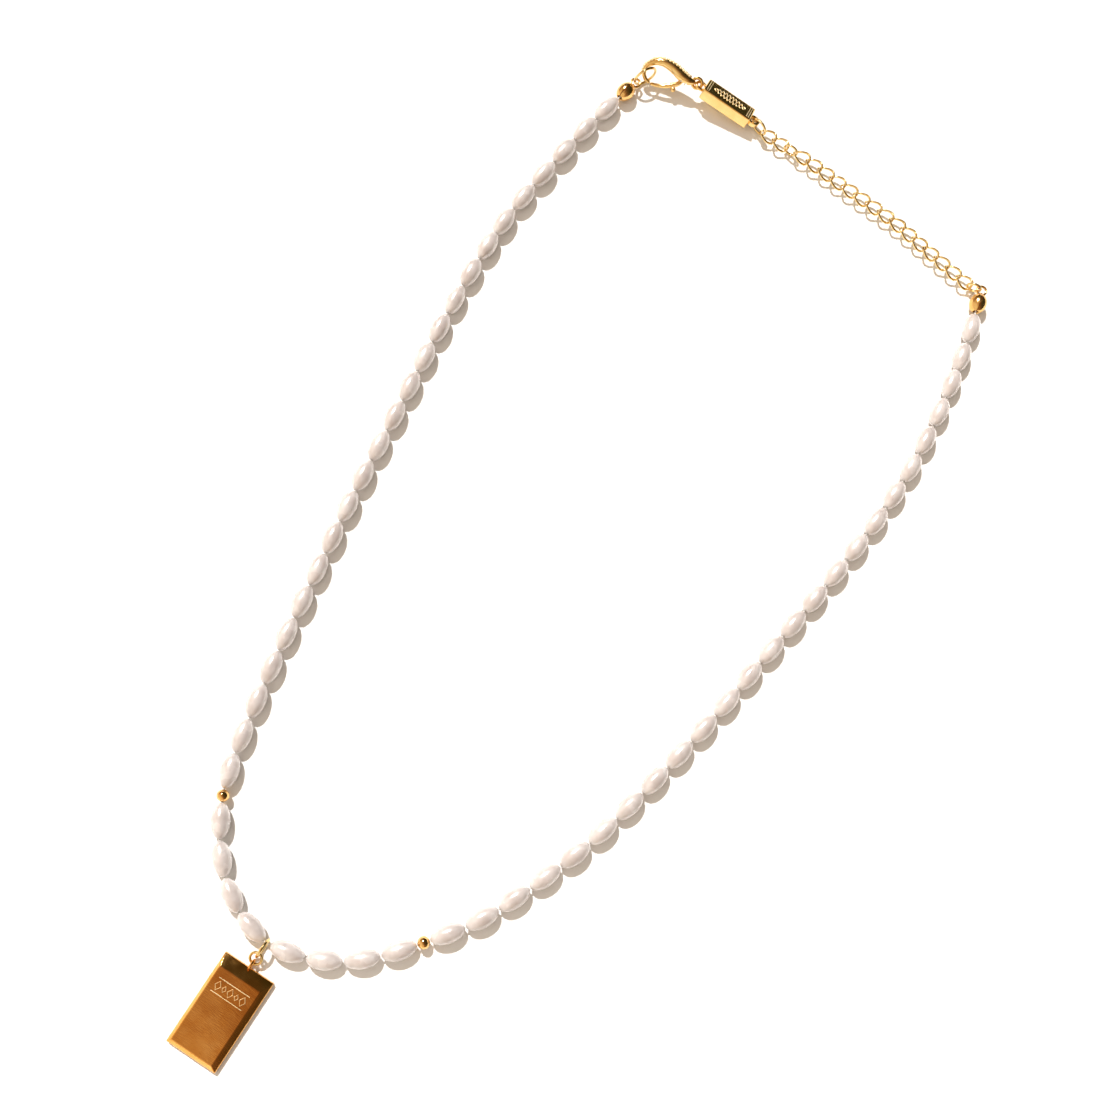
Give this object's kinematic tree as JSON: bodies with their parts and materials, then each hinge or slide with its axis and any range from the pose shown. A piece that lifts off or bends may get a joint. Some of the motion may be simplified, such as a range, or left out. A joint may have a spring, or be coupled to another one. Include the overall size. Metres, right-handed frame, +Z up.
{
  "type": "pearl necklace",
  "caption": "Flat-laid short necklace of rice-shaped pearls on a thread, with small gold beads, a gold bar pendant, a lever clasp, a tag bar and a curb extender chain.",
  "frame": {"origin": "middle of the laid-out necklace's outline, on the surface it lies on", "axes": "+Z up from the surface, +Y from the pendant towards the clasp and extender chain, +X to the wearer's side that carries the end of the extender chain"},
  "size_m": [0.0881, 0.1904, 0.0052],
  "materials": {
    "gold_plate": "polished warm gold plate",
    "pearl_coating": "glossy lustrous off-white coating",
    "thread": "fine pale nylon thread",
    "steel": "plain bright wire"
  },
  "bodies": {
    "strand_lower_left": {"thread_front_left": "thread", "pearls_17_to_20": "pearl_coating", "pearls_21_to_24": "pearl_coating"},
    "strand_upper_left": {"pearls_01_to_04": "pearl_coating", "pearls_05_to_08": "pearl_coating", "pearls_09_to_12": "pearl_coating", "pearls_13_to_16": "pearl_coating", "crimp_bead_left": "gold_plate", "crimp_cover_left": "gold_plate"},
    "strand_lower_right": {"thread_front_right": "thread", "pearls_33_to_36": "pearl_coating", "pearls_37_to_40": "pearl_coating", "pearls_41_to_44": "pearl_coating", "pearls_45_to_48": "pearl_coating"},
    "strand_upper_right": {"pearls_49_to_51": "pearl_coating", "pearls_52_to_54": "pearl_coating", "pearls_55_to_57": "pearl_coating", "crimp_bead_right": "gold_plate", "crimp_cover_right": "gold_plate"},
    "bail_ring": {"bail_ring": "gold_plate"},
    "small_ring": {"small_ring": "gold_plate"},
    "pendant": {"pendant_bar": "gold_plate"},
    "clasp_ring": {"clasp_ring": "gold_plate"},
    "clasp": {"clasp_body": "gold_plate", "clasp_pin": "steel", "clasp_spring": "steel"},
    "clasp_gate": {"clasp_gate": "gold_plate"},
    "tag": {"tag_bar": "gold_plate"},
    "tag_ring": {"tag_ring": "gold_plate"},
    "chain_link_01": {"chain_link_01": "gold_plate"},
    "chain_link_02": {"chain_link_02": "gold_plate"},
    "chain_ring_03": {"chain_ring_03": "gold_plate"},
    "chain_link_04": {"chain_link_04": "gold_plate"},
    "chain_link_05": {"chain_link_05": "gold_plate"},
    "chain_link_06": {"chain_link_06": "gold_plate"},
    "chain_link_07": {"chain_link_07": "gold_plate"},
    "chain_link_08": {"chain_link_08": "gold_plate"},
    "chain_link_09": {"chain_link_09": "gold_plate"},
    "chain_link_10": {"chain_link_10": "gold_plate"},
    "chain_link_11": {"chain_link_11": "gold_plate"},
    "chain_link_12": {"chain_link_12": "gold_plate"},
    "chain_link_13": {"chain_link_13": "gold_plate"},
    "chain_link_14": {"chain_link_14": "gold_plate"},
    "chain_link_15": {"chain_link_15": "gold_plate"},
    "chain_link_16": {"chain_link_16": "gold_plate"},
    "chain_link_17": {"chain_link_17": "gold_plate"},
    "chain_link_18": {"chain_link_18": "gold_plate"},
    "end_ring": {"end_ring": "gold_plate"},
    "gold_bead_left": {"gold_bead_left": "gold_plate"},
    "gold_bead_right": {"gold_bead_right": "gold_plate"},
    "pearl_25": {"pearl_25": "pearl_coating"},
    "pearl_26": {"pearl_26": "pearl_coating"},
    "pearl_27": {"pearl_27": "pearl_coating"},
    "pearl_28": {"pearl_28": "pearl_coating"},
    "pearl_29": {"pearl_29": "pearl_coating"},
    "pearl_30": {"pearl_30": "pearl_coating"},
    "pearl_31": {"pearl_31": "pearl_coating"},
    "pearl_32": {"pearl_32": "pearl_coating"}
  },
  "joints": [
    {"name": "left_strand_bend", "type": "hinge", "parent": "strand_lower_left", "child": "strand_upper_left", "pos_m": [-0.03326, -0.01283, 0.0016], "axis": [0, 0, 1], "range_deg": [-7, 7]},
    {"name": "front_bend", "type": "hinge", "parent": "strand_lower_left", "child": "strand_lower_right", "pos_m": [0.0047, -0.07311, 0.0016], "axis": [0, 0, 1], "range_deg": [-7, 7]},
    {"name": "right_strand_bend", "type": "hinge", "parent": "strand_lower_right", "child": "strand_upper_right", "pos_m": [0.04176, 0.03244, 0.0016], "axis": [0, 0, 1], "range_deg": [-7, 7]},
    {"name": "bail_swing", "type": "hinge", "parent": "strand_lower_left", "child": "bail_ring", "pos_m": [-0.0017, -0.07472, 0.0016], "axis": [-1, 0, 0], "range_deg": [-60, 60]},
    {"name": "small_ring_swing", "type": "hinge", "parent": "bail_ring", "child": "small_ring", "pos_m": [-0.0017, -0.07655, 0.00185], "axis": [-1, 0, 0], "range_deg": [-40, 40]},
    {"name": "pendant_swing", "type": "hinge", "parent": "small_ring", "child": "pendant", "pos_m": [-0.0017, -0.07862, 0.0012], "axis": [-0.9994, -0.0349, 0], "range_deg": [-45, 60]},
    {"name": "gate_open", "type": "hinge", "parent": "clasp", "child": "clasp_gate", "pos_m": [-0.03199, 0.09121, 0.00326], "axis": [-0.1652, 0.5797, -0.7979], "range_deg": [0, 20], "stiffness_Nm_per_rad": 0.002, "springref_deg": -11.46},
    {"name": "clasp_roll", "type": "hinge", "parent": "strand_upper_left", "child": "clasp", "pos_m": [-0.02921, 0.09234, 0.0035], "axis": [-0.9403, -0.3367, -0.0499], "range_deg": [-9, 8]},
    {"name": "clasp_ring_roll", "type": "hinge", "parent": "strand_upper_left", "child": "clasp_ring", "pos_m": [-0.03804, 0.08832, 0.00248], "axis": [0.4742, 0.8804, 0], "range_deg": [-6, 10]},
    {"name": "tag_roll", "type": "hinge", "parent": "strand_upper_left", "child": "tag", "pos_m": [-0.0226, 0.09284, 0.00254], "axis": [0.986, 0.0776, -0.1478], "range_deg": [-10, 4]},
    {"name": "tag_ring_roll", "type": "hinge", "parent": "strand_upper_left", "child": "tag_ring", "pos_m": [-0.01529, 0.09284, 0.0019], "axis": [0.9608, -0.2772, 0], "range_deg": [-15, 3]},
    {"name": "chain_link_01_roll", "type": "hinge", "parent": "strand_upper_left", "child": "chain_link_01", "pos_m": [-0.01301, 0.09256, 0.0015], "axis": [0.9999, -0.0101, 0], "range_deg": [-3, 15]},
    {"name": "chain_link_02_roll", "type": "hinge", "parent": "strand_upper_left", "child": "chain_link_02", "pos_m": [-0.01031, 0.09258, 0.0015], "axis": [0.9997, 0.0261, 0], "range_deg": [-15, 6]},
    {"name": "chain_ring_03_roll", "type": "hinge", "parent": "strand_upper_left", "child": "chain_ring_03", "pos_m": [-0.00796, 0.09267, 0.0015], "axis": [0.9989, 0.0473, 0], "range_deg": [-6, 6]},
    {"name": "chain_link_04_roll", "type": "hinge", "parent": "strand_upper_left", "child": "chain_link_04", "pos_m": [-0.00561, 0.09275, 0.0015], "axis": [0.9996, 0.0271, 0], "range_deg": [-6, 15]},
    {"name": "chain_link_05_roll", "type": "hinge", "parent": "strand_upper_left", "child": "chain_link_05", "pos_m": [-0.00291, 0.09275, 0.0015], "axis": [0.9996, -0.0282, 0], "range_deg": [-15, 15]},
    {"name": "chain_link_06_roll", "type": "hinge", "parent": "strand_upper_left", "child": "chain_link_06", "pos_m": [-0.00021, 0.09264, 0.0015], "axis": [0.9986, -0.0521, 0], "range_deg": [-15, 15]},
    {"name": "chain_link_07_roll", "type": "hinge", "parent": "strand_upper_left", "child": "chain_link_07", "pos_m": [0.00248, 0.09251, 0.0015], "axis": [0.9991, -0.0413, 0], "range_deg": [-15, 15]},
    {"name": "chain_link_08_roll", "type": "hinge", "parent": "strand_upper_right", "child": "chain_link_08", "pos_m": [0.00518, 0.09242, 0.0015], "axis": [0.9997, -0.0261, 0], "range_deg": [-15, 15]},
    {"name": "chain_link_09_roll", "type": "hinge", "parent": "strand_upper_right", "child": "chain_link_09", "pos_m": [0.00788, 0.09235, 0.0015], "axis": [0.9996, -0.0266, 0], "range_deg": [-15, 15]},
    {"name": "chain_link_10_roll", "type": "hinge", "parent": "strand_upper_right", "child": "chain_link_10", "pos_m": [0.01058, 0.09227, 0.0015], "axis": [0.9994, -0.0355, 0], "range_deg": [-15, 15]},
    {"name": "chain_link_11_roll", "type": "hinge", "parent": "strand_upper_right", "child": "chain_link_11", "pos_m": [0.01328, 0.09216, 0.0015], "axis": [0.9989, -0.0463, 0], "range_deg": [-15, 15]},
    {"name": "chain_link_12_roll", "type": "hinge", "parent": "strand_upper_right", "child": "chain_link_12", "pos_m": [0.01597, 0.09196, 0.0015], "axis": [0.9953, -0.0971, 0], "range_deg": [-15, 15]},
    {"name": "chain_link_13_roll", "type": "hinge", "parent": "strand_upper_right", "child": "chain_link_13", "pos_m": [0.01865, 0.09163, 0.0015], "axis": [0.9882, -0.1532, 0], "range_deg": [-15, 15]},
    {"name": "chain_link_14_roll", "type": "hinge", "parent": "strand_upper_right", "child": "chain_link_14", "pos_m": [0.02132, 0.09122, 0.0015], "axis": [0.9889, -0.1484, 0], "range_deg": [-15, 15]},
    {"name": "chain_link_15_roll", "type": "hinge", "parent": "strand_upper_right", "child": "chain_link_15", "pos_m": [0.02399, 0.09082, 0.0015], "axis": [0.9895, -0.1445, 0], "range_deg": [-15, 15]},
    {"name": "chain_link_16_roll", "type": "hinge", "parent": "strand_upper_right", "child": "chain_link_16", "pos_m": [0.02666, 0.09044, 0.0015], "axis": [0.9903, -0.1391, 0], "range_deg": [-15, 15]},
    {"name": "chain_link_17_roll", "type": "hinge", "parent": "strand_upper_right", "child": "chain_link_17", "pos_m": [0.02933, 0.09008, 0.0015], "axis": [0.9922, -0.1245, 0], "range_deg": [-15, 15]},
    {"name": "chain_link_18_roll", "type": "hinge", "parent": "strand_upper_right", "child": "chain_link_18", "pos_m": [0.03202, 0.08976, 0.0015], "axis": [0.9936, -0.1128, 0], "range_deg": [-15, 1.5]},
    {"name": "end_ring_roll", "type": "hinge", "parent": "strand_upper_right", "child": "end_ring", "pos_m": [0.03417, 0.08977, 0.0016], "axis": [-0.981, -0.1939, 0], "range_deg": [-12, 1]},
    {"name": "gold_bead_left_spin", "type": "hinge", "parent": "strand_lower_left", "child": "gold_bead_left", "pos_m": [-0.02136, -0.06031, 0.0016], "axis": [-0.4675, 0.884, 0], "continuous": true},
    {"name": "gold_bead_right_spin", "type": "hinge", "parent": "strand_lower_right", "child": "gold_bead_right", "pos_m": [0.01876, -0.06065, 0.0016], "axis": [0.6017, 0.7987, 0], "continuous": true},
    {"name": "pearl_25_spin", "type": "hinge", "parent": "strand_lower_left", "child": "pearl_25", "pos_m": [-0.01921, -0.06372, 0.0016], "axis": [-0.5563, 0.831, 0], "continuous": true},
    {"name": "pearl_26_spin", "type": "hinge", "parent": "strand_lower_left", "child": "pearl_26", "pos_m": [-0.01541, -0.06834, 0.0016], "axis": [-0.7075, 0.7067, 0], "continuous": true},
    {"name": "pearl_27_spin", "type": "hinge", "parent": "strand_lower_left", "child": "pearl_27", "pos_m": [-0.01068, -0.07193, 0.0016], "axis": [-0.8719, 0.4896, 0], "continuous": true},
    {"name": "pearl_28_spin", "type": "hinge", "parent": "strand_lower_left", "child": "pearl_28", "pos_m": [-0.00513, -0.07404, 0.0016], "axis": [-0.9768, 0.2143, 0], "continuous": true},
    {"name": "pearl_29_spin", "type": "hinge", "parent": "strand_lower_left", "child": "pearl_29", "pos_m": [0.0018, -0.07388, 0.0016], "axis": [0.9672, 0.254, 0], "continuous": true},
    {"name": "pearl_30_spin", "type": "hinge", "parent": "strand_lower_right", "child": "pearl_30", "pos_m": [0.00733, -0.07168, 0.0016], "axis": [0.8775, 0.4796, 0], "continuous": true},
    {"name": "pearl_31_spin", "type": "hinge", "parent": "strand_lower_right", "child": "pearl_31", "pos_m": [0.01216, -0.06819, 0.0016], "axis": [0.7317, 0.6817, 0], "continuous": true},
    {"name": "pearl_32_spin", "type": "hinge", "parent": "strand_lower_right", "child": "pearl_32", "pos_m": [0.01624, -0.06381, 0.0016], "axis": [0.6299, 0.7766, 0], "continuous": true}
  ],
  "couplings": [
    {"joint": "front_bend", "follows": "left_strand_bend", "ratio": 1},
    {"joint": "right_strand_bend", "follows": "left_strand_bend", "ratio": -1}
  ]
}
